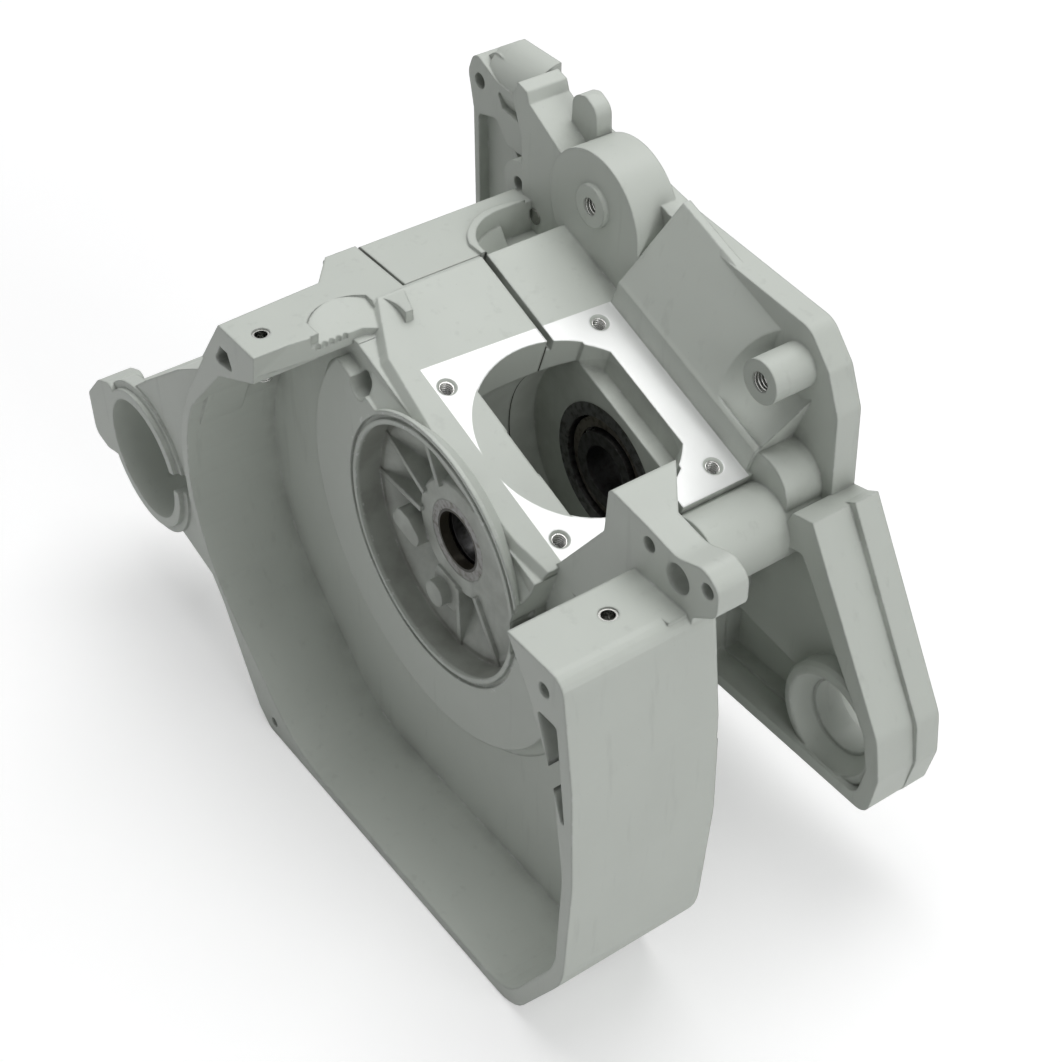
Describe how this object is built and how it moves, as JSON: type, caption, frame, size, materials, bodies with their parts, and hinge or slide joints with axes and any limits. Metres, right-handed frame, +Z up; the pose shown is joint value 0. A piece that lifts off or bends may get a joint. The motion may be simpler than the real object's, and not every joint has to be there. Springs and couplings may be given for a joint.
{
  "type": "chainsaw crankcase",
  "caption": "Chainsaw crankcase with a round fan housing, leaning cylinder deck, crankshaft bearings and seals, rear buffer tube and front buffer eye.",
  "frame": {"origin": "on the crankshaft axis, under the middle of the four cylinder studs", "axes": "+Y along the crankshaft towards the clutch side, +Z up with the saw standing on its foot, +X towards the saw's front"},
  "size_m": [0.3288, 0.148, 0.2278],
  "materials": {
    "cast_paint": "satin pale grey-green paint on a magnesium die casting",
    "gasket": "dark fibre gasket",
    "seal_rubber": "dark brown oily rubber",
    "bearing_steel": "ground, oily",
    "plated_steel": "plated",
    "bright_steel": "bright"
  },
  "bodies": {
    "crankcase": {"fan_half": "cast_paint", "clutch_half": "cast_paint", "crankcase_gasket": "gasket", "fan_bearing_outer_ring": "bearing_steel", "clutch_bearing_outer_ring": "bearing_steel", "fan_seal_case": "plated_steel", "fan_seal_lip": "seal_rubber", "fan_seal_spring": "plated_steel", "clutch_seal_case": "plated_steel", "clutch_seal_lip": "seal_rubber", "clutch_seal_spring": "plated_steel", "crankcase_screws": "plated_steel", "locating_dowels": "plated_steel", "thread_inserts": "bright_steel", "guard_pin": "bright_steel"},
    "fan_inner_ring": {"fan_bearing_inner_ring": "bearing_steel"},
    "fan_ball_set": {"fan_bearing_balls": "bearing_steel", "fan_bearing_cage": "bearing_steel"},
    "clutch_inner_ring": {"clutch_bearing_inner_ring": "bearing_steel"},
    "clutch_ball_set": {"clutch_bearing_balls": "bearing_steel", "clutch_bearing_cage": "bearing_steel"}
  },
  "joints": [
    {"name": "fan_inner_ring_turn", "type": "hinge", "parent": "crankcase", "child": "fan_inner_ring", "pos_m": [0, -0.0292, 0], "axis": [0, 1, 0], "continuous": true},
    {"name": "fan_ball_set_turn", "type": "hinge", "parent": "crankcase", "child": "fan_ball_set", "pos_m": [0, -0.0292, 0], "axis": [0, 1, 0], "continuous": true},
    {"name": "clutch_inner_ring_turn", "type": "hinge", "parent": "crankcase", "child": "clutch_inner_ring", "pos_m": [0, 0.0285, 0], "axis": [0, 1, 0], "continuous": true},
    {"name": "clutch_ball_set_turn", "type": "hinge", "parent": "crankcase", "child": "clutch_ball_set", "pos_m": [0, 0.0285, 0], "axis": [0, 1, 0], "continuous": true}
  ],
  "couplings": [
    {"joint": "fan_ball_set_turn", "follows": "fan_inner_ring_turn", "ratio": 0.39426},
    {"joint": "clutch_ball_set_turn", "follows": "clutch_inner_ring_turn", "ratio": 0.36756}
  ]
}
